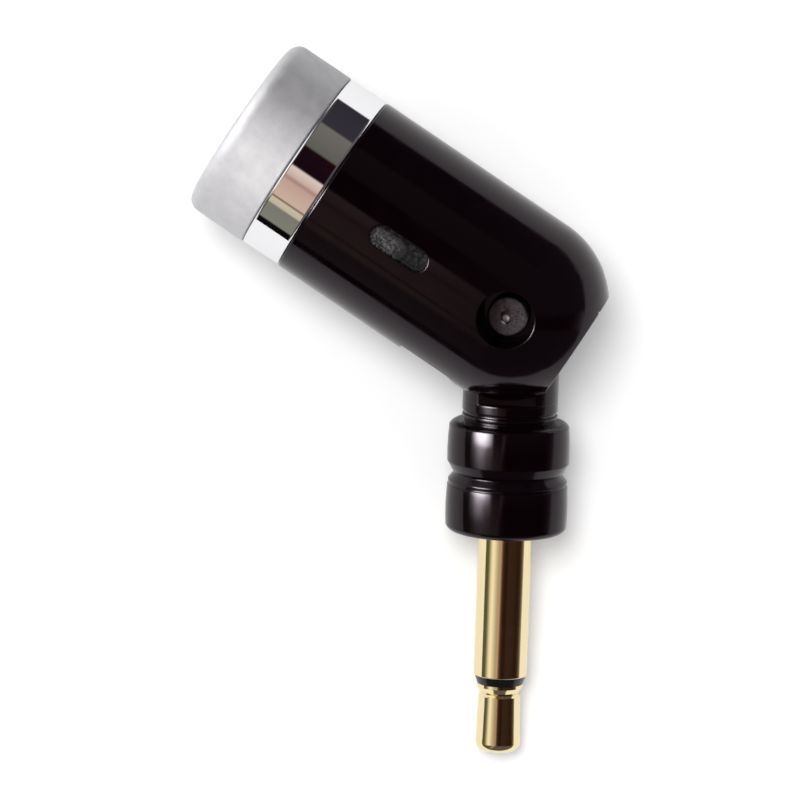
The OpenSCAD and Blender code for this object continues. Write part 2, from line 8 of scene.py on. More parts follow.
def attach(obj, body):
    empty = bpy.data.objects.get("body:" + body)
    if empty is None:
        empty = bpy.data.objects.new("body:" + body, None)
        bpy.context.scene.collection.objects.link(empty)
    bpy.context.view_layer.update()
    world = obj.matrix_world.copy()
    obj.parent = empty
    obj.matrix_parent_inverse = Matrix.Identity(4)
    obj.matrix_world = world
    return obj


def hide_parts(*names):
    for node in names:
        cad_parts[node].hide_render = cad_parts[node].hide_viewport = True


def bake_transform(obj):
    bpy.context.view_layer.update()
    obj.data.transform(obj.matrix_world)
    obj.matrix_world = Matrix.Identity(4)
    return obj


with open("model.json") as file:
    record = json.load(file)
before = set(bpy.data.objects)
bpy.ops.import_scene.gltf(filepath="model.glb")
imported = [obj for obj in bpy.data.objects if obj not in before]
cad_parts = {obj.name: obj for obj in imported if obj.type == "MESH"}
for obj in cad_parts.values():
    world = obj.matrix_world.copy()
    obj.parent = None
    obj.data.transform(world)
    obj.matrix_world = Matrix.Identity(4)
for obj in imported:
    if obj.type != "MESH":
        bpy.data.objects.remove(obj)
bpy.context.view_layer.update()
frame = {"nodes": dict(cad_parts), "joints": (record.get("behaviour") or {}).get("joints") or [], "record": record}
nodes = frame["nodes"]
print("frame loaded:", len(nodes), "nodes")

mm = 0.001

# Places taken from the frame: the hinge, and the directions of the head and of the plug
tiltJoint = frame["joints"][0]
plugMount = next(m for m in frame["record"]["mounts"] if m["name"] == "plug")
pivot = Vector(tiltJoint["pos_m"])
hingeAxis = Vector(tiltJoint["axis"]).normalized()
headAxis = Vector((1, 0, 0))
stemAxis = Vector(plugMount["axis"]).normalized()


# Metres in a body's own frame: x along its axis, z along the hinge pin, the pivot as origin
def frameAlong(axis):
    turn = Matrix((axis, hingeAxis.cross(axis).normalized(), hingeAxis)).transposed()
    return Matrix.Translation(pivot) @ turn.to_4x4()


headFrame = frameAlong(headAxis)
stemFrame = frameAlong(stemAxis)


# Helpers for node trees
def setInput(tree, socket, value):
    if isinstance(value, bpy.types.NodeSocket):
        tree.links.new(value, socket)
    else:
        socket.default_value = value


def addNode(tree, kind, inputs=None, **settings):
    node = tree.nodes.new(kind)
    for key, value in settings.items():
        setattr(node, key, value)
    for key, value in (inputs or {}).items():
        setInput(tree, node.inputs[key], value)
    return node


def addMath(tree, operation, first, second=0.0, third=0.0):
    node = addNode(tree, "ShaderNodeMath", operation=operation)
    for socket, value in zip(node.inputs, (first, second, third)):
        setInput(tree, socket, value)
    return node.outputs[0]


def mapRange(tree, value, fromLow, fromHigh, toLow, toHigh, smooth=False):
    inputs = {"Value": value, "From Min": fromLow, "From Max": fromHigh, "To Min": toLow, "To Max": toHigh}
    kind = "SMOOTHSTEP" if smooth else "LINEAR"
    return addNode(tree, "ShaderNodeMapRange", inputs, interpolation_type=kind).outputs["Result"]


def mixColour(tree, factor, first, second):
    node = addNode(tree, "ShaderNodeMix", data_type="RGBA")
    setInput(tree, node.inputs["Factor"], factor)
    setInput(tree, node.inputs[6], first)  # 6 and 7 are its two colours
    setInput(tree, node.inputs[7], second)
    return node.outputs[2]


def addDot(tree, first, second):
    node = addNode(tree, "ShaderNodeVectorMath", operation="DOT_PRODUCT")
    setInput(tree, node.inputs[0], first)
    setInput(tree, node.inputs[1], second)
    return node.outputs["Value"]


def newTree(kind, name, inputs, outputs):
    tree = bpy.data.node_groups.new(name, kind)
    for label, socketType, value in inputs:
        socket = tree.interface.new_socket(label, in_out="INPUT", socket_type=socketType)
        if value is not None:
            socket.default_value = value
    for label, socketType in outputs:
        tree.interface.new_socket(label, in_out="OUTPUT", socket_type=socketType)
    return tree, tree.nodes.new("NodeGroupInput"), tree.nodes.new("NodeGroupOutput")


numberSocket, countSocket, vectorSocket = "NodeSocketFloat", "NodeSocketInt", "NodeSocketVector"


# Effects that more than one finish shares. Each takes the middle of its noise and spreads it over
# the whole of its result. Lengths are in millimetres.
effectShapes = {
    "grain": {"middle": (0.3, 0.7)},
    "turning": {"middle": (0.25, 0.75), "wavesPerMillimetre": 0.8, "wave": 0.05},
    "smudges": {"middle": (0.5, 0.72), "twist": 0.6, "finePerMillimetre": 9.0},
    "cells": {"middle": (0.15, 0.6), "leastShade": 0.45}}


# Uneven grain at one size, read as a number between two ends
def buildGrain():
    shape = effectShapes["grain"]
    tree, given, result = newTree("ShaderNodeTree", "grain", [
        ("Position", vectorSocket, None), ("Size", numberSocket, 0.5), ("Detail", numberSocket, 3.0),
        ("Low", numberSocket, 0.0), ("High", numberSocket, 1.0)], [("Value", numberSocket)])
    scale = addMath(tree, "DIVIDE", 1.0, given.outputs["Size"])
    noise = addNode(tree, "ShaderNodeTexNoise", {
        "Vector": given.outputs["Position"], "Scale": scale, "Detail": given.outputs["Detail"]})
    spread = mapRange(tree, noise.outputs["Fac"], *shape["middle"],
                      given.outputs["Low"], given.outputs["High"])
    setInput(tree, result.inputs["Value"], spread)
    return tree


# Fine lines round a turned piece, with a little waviness along them
def buildTurning():
    shape = effectShapes["turning"]
    tree, given, result = newTree("ShaderNodeTree", "turning", [
        ("Position", vectorSocket, None), ("Spacing", numberSocket, 0.06),
        ("Low", numberSocket, 0.0), ("High", numberSocket, 1.0)], [("Value", numberSocket)])
    parts = addNode(tree, "ShaderNodeSeparateXYZ", {"Vector": given.outputs["Position"]})
    wander = addNode(tree, "ShaderNodeTexNoise", {
        "Vector": given.outputs["Position"], "Scale": shape["wavesPerMillimetre"], "Detail": 1.0})
    shifted = addMath(tree, "MULTIPLY_ADD", wander.outputs["Fac"], shape["wave"], parts.outputs["X"])
    along = addMath(tree, "DIVIDE", shifted, given.outputs["Spacing"])
    lines = addNode(tree, "ShaderNodeTexNoise", {"W": along, "Scale": 1.0, "Detail": 2.0},
                    noise_dimensions="1D")
    spread = mapRange(tree, lines.outputs["Fac"], *shape["middle"],
                      given.outputs["Low"], given.outputs["High"])
    setInput(tree, result.inputs["Value"], spread)
    return tree


# Soft patches where fingers have touched, as a mask
def buildSmudges():
    shape = effectShapes["smudges"]
    tree, given, result = newTree("ShaderNodeTree", "smudges", [
        ("Position", vectorSocket, None), ("Size", numberSocket, 3.0),
        ("Amount", numberSocket, 0.5)], [("Mask", numberSocket)])
    scale = addMath(tree, "DIVIDE", 1.0, given.outputs["Size"])
    broad = addNode(tree, "ShaderNodeTexNoise", {
        "Vector": given.outputs["Position"], "Scale": scale, "Detail": 4.0, "Distortion": shape["twist"]})
    patches = mapRange(tree, broad.outputs["Fac"], *shape["middle"], 0.0, 1.0, smooth=True)
    fine = addNode(tree, "ShaderNodeTexNoise", {
        "Vector": given.outputs["Position"], "Scale": shape["finePerMillimetre"], "Detail": 2.0})
    broken = addMath(tree, "MULTIPLY", patches, fine.outputs["Fac"])
    setInput(tree, result.inputs["Mask"], addMath(tree, "MULTIPLY", broken, given.outputs["Amount"]))
    return tree


# Open cells, as in foam and felt: a height that drops in each cell, and a shade that follows it
def buildCells():
    shape = effectShapes["cells"]
    tree, given, result = newTree("ShaderNodeTree", "cells", [
        ("Position", vectorSocket, None), ("Size", numberSocket, 0.3)],
        [("Height", numberSocket), ("Shade", numberSocket)])
    scale = addMath(tree, "DIVIDE", 1.0, given.outputs["Size"])
    cells = addNode(tree, "ShaderNodeTexVoronoi", {"Vector": given.outputs["Position"], "Scale": scale},
                    feature="SMOOTH_F1")
    height = cells.outputs["Distance"]
    setInput(tree, result.inputs["Height"], height)
    shade = mapRange(tree, height, *shape["middle"], shape["leastShade"], 1.0)
    setInput(tree, result.inputs["Shade"], shade)
    return tree


effects = {
    "grain": buildGrain(), "turning": buildTurning(),
    "smudges": buildSmudges(), "cells": buildCells()}


def useEffect(tree, name, **values):
    node = addNode(tree, "ShaderNodeGroup", node_tree=effects[name])
    for key, value in values.items():
        setInput(tree, node.inputs[key], value)
    return node.outputs[0]


# Millimetres in a body's own frame, so that a pattern stays on its piece
def millimetres(tree, place):
    back = place.inverted()
    where = addNode(tree, "ShaderNodeTexCoord").outputs["Object"]
    turned = addNode(tree, "ShaderNodeMapping", {
        "Vector": where, "Rotation": back.to_euler(), "Location": back.translation})
    scaled = addNode(tree, "ShaderNodeVectorMath", operation="SCALE")
    setInput(tree, scaled.inputs[0], turned.outputs[0])
    scaled.inputs["Scale"].default_value = 1 / mm
    return scaled.outputs[0]


def emptyMaterial(name):
    material = bpy.data.materials.new(name)
    material.use_nodes = True
    material.node_tree.nodes.clear()
    return material, material.node_tree


def endMaterial(tree, *shaders):
    surface = shaders[0].outputs[0]
    for shader in shaders[1:]:
        both = addNode(tree, "ShaderNodeAddShader")
        tree.links.new(surface, both.inputs[0])
        tree.links.new(shader.outputs[0], both.inputs[1])
        surface = both.outputs[0]
    output = addNode(tree, "ShaderNodeOutputMaterial")
    tree.links.new(surface, output.inputs["Surface"])


def newMaterial(name, place):
    material, tree = emptyMaterial(name)
    shader = addNode(tree, "ShaderNodeBsdfPrincipled")
    endMaterial(tree, shader)
    return material, tree, shader, millimetres(tree, place)


def addBump(tree, shader, height, depth, previous=None):
    bump = addNode(tree, "ShaderNodeBump", {"Height": height, "Strength": 1.0, "Distance": depth * mm})
    if previous:
        setInput(tree, bump.inputs["Normal"], previous)
    setInput(tree, shader.inputs["Normal"], bump.outputs["Normal"])
    return bump.outputs["Normal"]


# Finishes: sizes and depths are in millimetres, and a polish is the least and the most roughness.
# Glossy black moulding: the head, the stem and the collar.
mouldedBlack = {
    "colour": (0.0045, 0.0010, 0.0026, 1), "gloss": 0.26, "glossTint": (1.0, 0.82, 0.95, 1),
    "polish": (0.07, 0.13), "polishSize": 1.6, "smudge": 0.10, "smudgeSize": 3.5, "edge": 0.11,
    "peelSize": 0.9, "peelDepth": 0.0006, "pitSize": 0.07, "pitDepth": 0.0002}


def mouldedBlackFinish(name, place):
    look = mouldedBlack
    material, tree, shader, at = newMaterial(name, place)
    shader.inputs["Base Color"].default_value = look["colour"]
    shader.inputs["Specular IOR Level"].default_value = look["gloss"]
    shader.inputs["Specular Tint"].default_value = look["glossTint"]
    low, high = look["polish"]
    polish = useEffect(tree, "grain", Position=at, Size=look["polishSize"], Low=low, High=high)
    smudge = useEffect(tree, "smudges", Position=at, Size=look["smudgeSize"], Amount=look["smudge"])
    setInput(tree, shader.inputs["Roughness"], addMath(tree, "ADD", polish, smudge))
    peel = useEffect(tree, "grain", Position=at, Size=look["peelSize"], Detail=1.0)
    pits = useEffect(tree, "grain", Position=at, Size=look["pitSize"], Detail=2.0)
    rounded = addNode(tree, "ShaderNodeBevel", {"Radius": look["edge"] * mm}, samples=6)
    first = addBump(tree, shader, peel, look["peelDepth"], rounded.outputs[0])
    addBump(tree, shader, pits, look["pitDepth"], first)
    return material


# Plating on turned metal: the trim ring and the plug
mirrorRing = {
    "colour": (0.93, 0.93, 0.94, 1), "polish": (0.025, 0.05), "smudge": 0.03, "smudgeSize": 2.5,
    "spacing": 0.05, "lineDepth": 0.00004}
goldPlate = {
    "colour": (0.95, 0.81, 0.50, 1), "polish": (0.06, 0.10), "smudge": 0.06, "smudgeSize": 2.5,
    "spacing": 0.07, "lineDepth": 0.0003}


def platedFinish(name, place, look):
    material, tree, shader, at = newMaterial(name, place)
    shader.inputs["Base Color"].default_value = look["colour"]
    shader.inputs["Metallic"].default_value = 1.0
    low, high = look["polish"]
    lines = useEffect(tree, "turning", Position=at, Spacing=look["spacing"], Low=low, High=high)
    smudge = useEffect(tree, "smudges", Position=at, Size=look["smudgeSize"], Amount=look["smudge"])
    setInput(tree, shader.inputs["Roughness"], addMath(tree, "ADD", lines, smudge))
    ridges = useEffect(tree, "turning", Position=at, Spacing=look["spacing"])
    addBump(tree, shader, ridges, look["lineDepth"])
    return material


# Blasted and anodised cap, and the grille in its opening
satinCap = {
    "colour": (0.56, 0.555, 0.565, 1), "patch": (0.49, 0.485, 0.50, 1), "patchSize": 1.1, "metal": 0.85,
    "polish": (0.58, 0.68), "polishSize": 0.5, "blastSize": 0.06, "blastDepth": 0.004}
satinGrille = {
    "colour": (0.42, 0.43, 0.44, 1), "patch": (0.34, 0.35, 0.36, 1), "patchSize": 1.1, "metal": 1.0,
    "polish": (0.28, 0.40), "polishSize": 0.5, "blastSize": 0.04, "blastDepth": 0.002}


def satinFinish(name, place, look):
    material, tree, shader, at = newMaterial(name, place)
    patches = useEffect(tree, "grain", Position=at, Size=look["patchSize"], Detail=5.0)
    setInput(tree, shader.inputs["Base Color"], mixColour(tree, patches, look["colour"], look["patch"]))
    shader.inputs["Metallic"].default_value = look["metal"]
    low, high = look["polish"]
    polish = useEffect(tree, "grain", Position=at, Size=look["polishSize"], Low=low, High=high)
    setInput(tree, shader.inputs["Roughness"], polish)
    blast = useEffect(tree, "grain", Position=at, Size=look["blastSize"], Detail=2.0)
    addBump(tree, shader, blast, look["blastDepth"])
    return material


# Dark plated steel of the hinge screw, with a painted highlight at one place in its socket
darkSteel = {
    "colour": (0.050, 0.040, 0.047, 1), "worn": (0.085, 0.070, 0.078, 1), "wornSize": 0.35,
    "wornDepth": 0.003, "metal": 0.9, "polish": (0.25, 0.42), "polishSize": 0.12,
    # The last three give a painted highlight in the socket: its colour, where it sits and how it fades
    "bright": (0.85, 0.82, 0.82, 1), "paintedGlintSpot": (-0.03, -0.26), "paintedGlintFade": (0.30, 0.12)}


def darkSteelFinish(name, place):
    look = darkSteel
    material, tree, shader, at = newMaterial(name, place)
    worn = useEffect(tree, "grain", Position=at, Size=look["wornSize"], Detail=4.0)
    plated = mixColour(tree, worn, look["colour"], look["worn"])
    # Painted highlight: the colour turns bright round one point in the socket, standing in for a glint there
    where = addNode(tree, "ShaderNodeSeparateXYZ", {"Vector": at})
    spotX, spotY = look["paintedGlintSpot"]
    x = addMath(tree, "SUBTRACT", where.outputs["X"], spotX)
    y = addMath(tree, "SUBTRACT", where.outputs["Y"], spotY)
    squares = addMath(tree, "MULTIPLY_ADD", x, x, addMath(tree, "MULTIPLY", y, y))
    paintedGlintSpot = mapRange(tree, addMath(tree, "SQRT", squares), *look["paintedGlintFade"], 0.0, 1.0, smooth=True)
    setInput(tree, shader.inputs["Base Color"], mixColour(tree, paintedGlintSpot, plated, look["bright"]))
    shader.inputs["Metallic"].default_value = look["metal"]
    low, high = look["polish"]
    polish = useEffect(tree, "grain", Position=at, Size=look["polishSize"], Low=low, High=high)
    setInput(tree, shader.inputs["Roughness"], polish)
    addBump(tree, shader, worn, look["wornDepth"])
    return material


# Soft and porous pieces: felt, foam and rubber
porousLooks = {
    "feltGrey": {"light": (0.06, 0.056, 0.056, 1), "dark": (0.008, 0.007, 0.008, 1),
                 "cell": 0.22, "depth": 0.06},
    "foamGrey": {"light": (0.075, 0.075, 0.08, 1), "dark": (0.012, 0.012, 0.013, 1),
                 "cell": 0.3, "depth": 0.12},
    "bootRubber": {"light": (0.032, 0.031, 0.033, 1), "dark": (0.02, 0.02, 0.021, 1),
                   "cell": 0.08, "depth": 0.004}}
porousSurface = {"rough": 0.85, "gloss": 0.08, "fineSize": 0.1}


def porousFinish(name, place):
    look = porousLooks[name]
    material, tree, shader, at = newMaterial(name, place)
    cells = addNode(tree, "ShaderNodeGroup", {"Position": at, "Size": look["cell"]},
                    node_tree=effects["cells"])
    fine = useEffect(tree, "grain", Position=at, Size=porousSurface["fineSize"])
    shade = addMath(tree, "MULTIPLY", cells.outputs["Shade"], fine)
    setInput(tree, shader.inputs["Base Color"], mixColour(tree, shade, look["light"], look["dark"]))
    shader.inputs["Roughness"].default_value = porousSurface["rough"]
    shader.inputs["Specular IOR Level"].default_value = porousSurface["gloss"]
    addBump(tree, shader, cells.outputs["Height"], look["depth"])
    return material


# Loose fibres of the felt: lighter towards the grille and darker towards the hinge, with painted shade on one
# side. The lighter end and the painted shade each fade in between two places in the head's own frame.
fibreLook = {
    "grilleEnd": (0.52, 0.50, 0.51, 1), "plain": (0.036, 0.032, 0.034, 1), "dark": (0.010, 0.008, 0.010, 1),
    "towardsGrille": (-7.7, -8.6), "paintedShadeSide": (0.05, 0.5), "patchSize": 0.22, "rough": 0.8, "gloss": 0.04}


def fibreFinish(name, place):
    look = fibreLook
    material, tree, shader, at = newMaterial(name, place)
    where = addNode(tree, "ShaderNodeSeparateXYZ", {"Vector": at})
    # Lighter towards the grille, darker towards the hinge
    towardsGrille = mapRange(tree, where.outputs["X"], *look["towardsGrille"], 0.0, 1.0)
    light = mixColour(tree, towardsGrille, look["plain"], look["grilleEnd"])
    patches = useEffect(tree, "grain", Position=at, Size=look["patchSize"], Detail=3.0)
    # Painted shade: the fibres along one long side of the port are darkened as if in shadow, and random patches
    # darken too
    side = mapRange(tree, where.outputs["Y"], *look["paintedShadeSide"], 0.0, 1.0)
    shade = addMath(tree, "MAXIMUM", patches, side)
    setInput(tree, shader.inputs["Base Color"], mixColour(tree, shade, light, look["dark"]))
    shader.inputs["Roughness"].default_value = look["rough"]
    shader.inputs["Specular IOR Level"].default_value = look["gloss"]
    return material


# Inner pieces: a colour and a second one in its grain, the least and most roughness, a share of
# metal, and the grain's size and depth
innerLooks = {
    "drawnAluminium": {"colour": (0.77, 0.78, 0.79, 1), "tint": (0.66, 0.67, 0.69, 1), "rough": (0.2, 0.32),
                       "metal": 1.0, "grain": 0.3, "depth": 0.001},
    "turnedBrass": {"colour": (0.70, 0.52, 0.22, 1), "tint": (0.60, 0.42, 0.16, 1), "rough": (0.22, 0.36),
                    "metal": 1.0, "grain": 0.25, "depth": 0.001},
    "goldFilm": {"colour": (0.82, 0.70, 0.40, 1), "tint": (0.75, 0.62, 0.34, 1), "rough": (0.16, 0.24),
                 "metal": 0.9, "grain": 1.2, "depth": 0.003},
    "amberFilm": {"colour": (0.62, 0.27, 0.05, 1), "tint": (0.50, 0.20, 0.03, 1), "rough": (0.25, 0.35),
                  "metal": 0.0, "grain": 0.8, "depth": 0.001},
    "naturalNylon": {"colour": (0.74, 0.71, 0.63, 1), "tint": (0.66, 0.62, 0.54, 1), "rough": (0.42, 0.58),
                     "metal": 0.0, "grain": 0.5, "depth": 0.002},
    "boardGreen": {"colour": (0.018, 0.13, 0.06, 1), "tint": (0.03, 0.18, 0.08, 1), "rough": (0.25, 0.4),
                   "metal": 0.0, "grain": 0.6, "depth": 0.002},
    "transistorBlack": {"colour": (0.02, 0.019, 0.021, 1), "tint": (0.035, 0.033, 0.034, 1),
                        "rough": (0.45, 0.62), "metal": 0.0, "grain": 0.09, "depth": 0.002},
    "insulatorBlack": {"colour": (0.009, 0.006, 0.008, 1), "tint": (0.014, 0.01, 0.012, 1),
                       "rough": (0.16, 0.26), "metal": 0.0, "grain": 0.3, "depth": 0.0008},
    "tinnedBrass": {"colour": (0.64, 0.63, 0.60, 1), "tint": (0.52, 0.50, 0.47, 1), "rough": (0.26, 0.42),
                    "metal": 1.0, "grain": 0.2, "depth": 0.002},
    "redInsulation": {"colour": (0.46, 0.035, 0.03, 1), "tint": (0.36, 0.025, 0.02, 1),
                      "rough": (0.32, 0.45), "metal": 0.0, "grain": 0.4, "depth": 0.001},
    "blackInsulation": {"colour": (0.018, 0.017, 0.018, 1), "tint": (0.03, 0.028, 0.029, 1),
                        "rough": (0.32, 0.45), "metal": 0.0, "grain": 0.4, "depth": 0.001}}
finerShare = 0.4  # the grain in the roughness is finer than in the colour


def innerFinish(name, place):
    look = innerLooks[name]
    material, tree, shader, at = newMaterial(name, place)
    grain = useEffect(tree, "grain", Position=at, Size=look["grain"], Detail=4.0)
    setInput(tree, shader.inputs["Base Color"], mixColour(tree, grain, look["colour"], look["tint"]))
    shader.inputs["Metallic"].default_value = look["metal"]
    low, high = look["rough"]
    rough = useEffect(tree, "grain", Position=at, Size=look["grain"] * finerShare, Low=low, High=high)
    setInput(tree, shader.inputs["Roughness"], rough)
    addBump(tree, shader, grain, look["depth"])
    return material


headBlack = mouldedBlackFinish("mouldedBlackHead", headFrame)
stemBlack = mouldedBlackFinish("mouldedBlackStem", stemFrame)
ringChrome = platedFinish("polishedRing", headFrame, mirrorRing)
plugGold = platedFinish("goldPlate", stemFrame, goldPlate)
capSatin = satinFinish("satinCap", headFrame, satinCap)
grilleSatin = satinFinish("satinGrille", headFrame, satinGrille)
screwSteel = darkSteelFinish("darkSteel", headFrame)
porous = {name: porousFinish(name, headFrame) for name in porousLooks}
inner = {name: innerFinish(name, headFrame) for name in innerLooks}
fibreGrey = fibreFinish("feltFibre", headFrame)
print("materials made:", len(bpy.data.materials))

finishes = {
    "head_housing": headBlack, "trim_ring": ringChrome, "front_cap": capSatin,
    "front_grille": grilleSatin, "wind_foam": porous["foamGrey"], "capsule_boot": porous["bootRubber"],
    "capsule_can": inner["drawnAluminium"], "capsule_felt": porous["feltGrey"],
    "diaphragm_ring": inner["turnedBrass"], "diaphragm": inner["goldFilm"],
    "diaphragm_spacer": inner["amberFilm"], "backplate": inner["turnedBrass"],
    "chamber_ring": inner["naturalNylon"], "capsule_board": inner["boardGreen"],
    "fet": inner["transistorBlack"], "port_felt_top": porous["feltGrey"],
    "port_felt_bottom": porous["feltGrey"], "pivot_screw": screwSteel,
    "pivot_insert": inner["turnedBrass"], "stem": stemBlack, "washer_top": inner["naturalNylon"],
    "washer_bottom": inner["naturalNylon"], "collar": stemBlack, "plug_sleeve": plugGold,
    "plug_insulator": inner["insulatorBlack"], "plug_tip": plugGold,
    "rear_insulator": inner["naturalNylon"], "tip_terminal": inner["tinnedBrass"],
    "sleeve_terminal": inner["tinnedBrass"], "signal_lead": inner["redInsulation"],
    "ground_lead": inner["blackInsulation"]}
for name, material in finishes.items():
    mesh = nodes[name].data
    mesh.materials.clear()
    mesh.materials.append(material)


# Geometry Nodes: runs a tree on a mesh and keeps the result as a plain piece
def makeByTree(name, tree, mesh, values):
    piece = bpy.data.objects.new(name, mesh)
    bpy.context.scene.collection.objects.link(piece)
    modifier = piece.modifiers.new("shape", "NODES")
    modifier.node_group = tree
    sockets = {item.name: item.identifier for item in tree.interface.items_tree if item.in_out == "INPUT"}
    for label, value in values.items():
        modifier[sockets[label]] = value
    evaluated = piece.evaluated_get(bpy.context.evaluated_depsgraph_get())
    made = bpy.data.meshes.new_from_object(evaluated)
    piece.modifiers.remove(modifier)
    piece.data = made
    print(name, "made:", len(made.polygons), "faces")
    return piece


geometrySocket, materialSocket = "NodeSocketGeometry", "NodeSocketMaterial"


def endTree(tree, result, geometry, finish):
    realized = addNode(tree, "GeometryNodeRealizeInstances", {"Geometry": geometry})
    finished = addNode(tree, "GeometryNodeSetMaterial", {
        "Geometry": realized.outputs[0], "Material": finish})
    setInput(tree, result.inputs[0], finished.outputs[0])


# Felt: short curled fibres that stand on the felt in the mouth of each sound port, on the faces
# that look outwards. Lengths are in millimetres, and the lean is in degrees.
feltFibres = {
    "perSquareMillimetre": 120.0, "length": 0.40, "thickness": 0.020, "lean": 74.0, "curl": 0.22,
    "curlsPerMetre": 3000.0, "points": 5, "sides": 3, "above": 5.2, "outwards": 0.7, "seed": 11}


def buildFibreTree():
    tree, given, result = newTree("GeometryNodeTree", "standingFibres", [
        ("Surface", geometrySocket, None), ("Outward", vectorSocket, (0, 0, 1)),
        ("Lowest", numberSocket, 0.0), ("Facing", numberSocket, 0.7), ("Density", numberSocket, 1.0),
        ("Length", numberSocket, 0.001), ("Thickness", numberSocket, 0.0001), ("Lean", numberSocket, 1.0),
        ("Curl", numberSocket, 0.0001), ("Curls", numberSocket, 1000.0), ("Points", countSocket, 5),
        ("Sides", countSocket, 3), ("Seed", countSocket, 0), ("Finish", materialSocket, None)],
        [("Fibres", geometrySocket)])

    def past(vector, least):
        outwards = addDot(tree, vector, given.outputs["Outward"])
        compare = addNode(tree, "FunctionNodeCompare", {0: outwards, 1: given.outputs[least]},
                          data_type="FLOAT", operation="GREATER_THAN")
        return compare.outputs[0]

    where = addNode(tree, "GeometryNodeInputPosition").outputs[0]
    normal = addNode(tree, "GeometryNodeInputNormal").outputs[0]
    shown = addNode(tree, "FunctionNodeBooleanMath", {
        0: past(where, "Lowest"), 1: past(normal, "Facing")}, operation="AND")
    roots = addNode(tree, "GeometryNodeDistributePointsOnFaces", {
        "Mesh": given.outputs["Surface"], "Selection": shown.outputs[0],
        "Density": given.outputs["Density"], "Seed": given.outputs["Seed"]})
    tip = addNode(tree, "ShaderNodeCombineXYZ", {"Z": given.outputs["Length"]})
    straight = addNode(tree, "GeometryNodeCurvePrimitiveLine", {"End": tip.outputs[0]})
    hair = addNode(tree, "GeometryNodeResampleCurve", {
        "Curve": straight.outputs[0], "Count": given.outputs["Points"]})
    standing = addNode(tree, "GeometryNodeInstanceOnPoints", {
        "Points": roots.outputs["Points"], "Instance": hair.outputs[0],
        "Rotation": roots.outputs["Rotation"]})
    lean = given.outputs["Lean"]
    back = addMath(tree, "MULTIPLY", lean, -1.0)
    least = addNode(tree, "ShaderNodeCombineXYZ", {"X": back, "Y": back, "Z": 0.0})
    most = addNode(tree, "ShaderNodeCombineXYZ", {"X": lean, "Y": lean, "Z": 2 * math.pi})
    turn = addNode(tree, "FunctionNodeRandomValue", {
        "Min": least.outputs[0], "Max": most.outputs[0], "Seed": given.outputs["Seed"]},
        data_type="FLOAT_VECTOR")
    leaning = addNode(tree, "GeometryNodeRotateInstances", {
        "Instances": standing.outputs[0], "Rotation": turn.outputs[0], "Local Space": True})
    loose = addNode(tree, "GeometryNodeRealizeInstances", {"Geometry": leaning.outputs[0]})
    wander = addNode(tree, "ShaderNodeTexNoise", {"Scale": given.outputs["Curls"], "Detail": 1.0})
    centred = addNode(tree, "ShaderNodeVectorMath", {0: wander.outputs["Color"], 1: (0.5, 0.5, 0.5)},
                      operation="SUBTRACT")
    offset = addNode(tree, "ShaderNodeVectorMath", {0: centred.outputs[0], "Scale": given.outputs["Curl"]},
                     operation="SCALE")
    curled = addNode(tree, "GeometryNodeSetPosition", {
        "Geometry": loose.outputs[0], "Offset": offset.outputs[0]})
    half = addMath(tree, "MULTIPLY", given.outputs["Thickness"], 0.5)
    section = addNode(tree, "GeometryNodeCurvePrimitiveCircle", {
        "Resolution": given.outputs["Sides"], "Radius": half})
    tubes = addNode(tree, "GeometryNodeCurveToMesh", {
        "Curve": curled.outputs[0], "Profile Curve": section.outputs[0], "Fill Caps": True})
    endTree(tree, result, tubes.outputs[0], given.outputs["Finish"])
    return tree


fibreTree = buildFibreTree()


def makeFibres(name, node, outward):
    setup = feltFibres
    piece = makeByTree(name, fibreTree, nodes[node].data.copy(), {
        "Outward": tuple(outward), "Lowest": pivot.dot(outward) + setup["above"] * mm,
        "Facing": setup["outwards"], "Density": setup["perSquareMillimetre"] / mm ** 2,
        "Length": setup["length"] * mm, "Thickness": setup["thickness"] * mm,
        "Lean": math.radians(setup["lean"]), "Curl": setup["curl"] * mm, "Curls": setup["curlsPerMetre"],
        "Points": setup["points"], "Sides": setup["sides"], "Seed": setup["seed"], "Finish": fibreGrey})
    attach(piece, "head")


makeFibres("felt_fibres_top", "port_felt_top", hingeAxis)
makeFibres("felt_fibres_bottom", "port_felt_bottom", -hingeAxis)


# Screw thread: a fine helix on the hinge screw's shank, where it turns in the insert
screwThread = {"pitch": 0.35, "depth": 0.10, "stepsPerTurn": 28, "sides": 4, "inset": 0.1}


def buildThreadTree():
    tree, given, result = newTree("GeometryNodeTree", "helixThread", [
        ("Radius", numberSocket, 0.001), ("Pitch", numberSocket, 0.001), ("Turns", numberSocket, 3.0),
        ("Depth", numberSocket, 0.0001), ("Steps", countSocket, 24), ("Sides", countSocket, 4),
        ("Finish", materialSocket, None)], [("Thread", geometrySocket)])
    height = addMath(tree, "MULTIPLY", given.outputs["Pitch"], given.outputs["Turns"])
    helix = addNode(tree, "GeometryNodeCurveSpiral", {
        "Resolution": given.outputs["Steps"], "Rotations": given.outputs["Turns"],
        "Start Radius": given.outputs["Radius"], "End Radius": given.outputs["Radius"], "Height": height})
    level = addNode(tree, "GeometryNodeSetCurveNormal", {"Curve": helix.outputs[0]}, mode="Z_UP")
    section = addNode(tree, "GeometryNodeCurvePrimitiveCircle", {
        "Resolution": given.outputs["Sides"],
        "Radius": addMath(tree, "MULTIPLY", given.outputs["Depth"], 0.5)})
    thread = addNode(tree, "GeometryNodeCurveToMesh", {
        "Curve": level.outputs[0], "Profile Curve": section.outputs[0], "Fill Caps": True})
    endTree(tree, result, thread.outputs[0], given.outputs["Finish"])
    return tree


# A node's points in millimetres in a body's frame
def pointsOf(name, place):
    back = place.inverted()
    return [back @ vertex.co / mm for vertex in nodes[name].data.vertices]


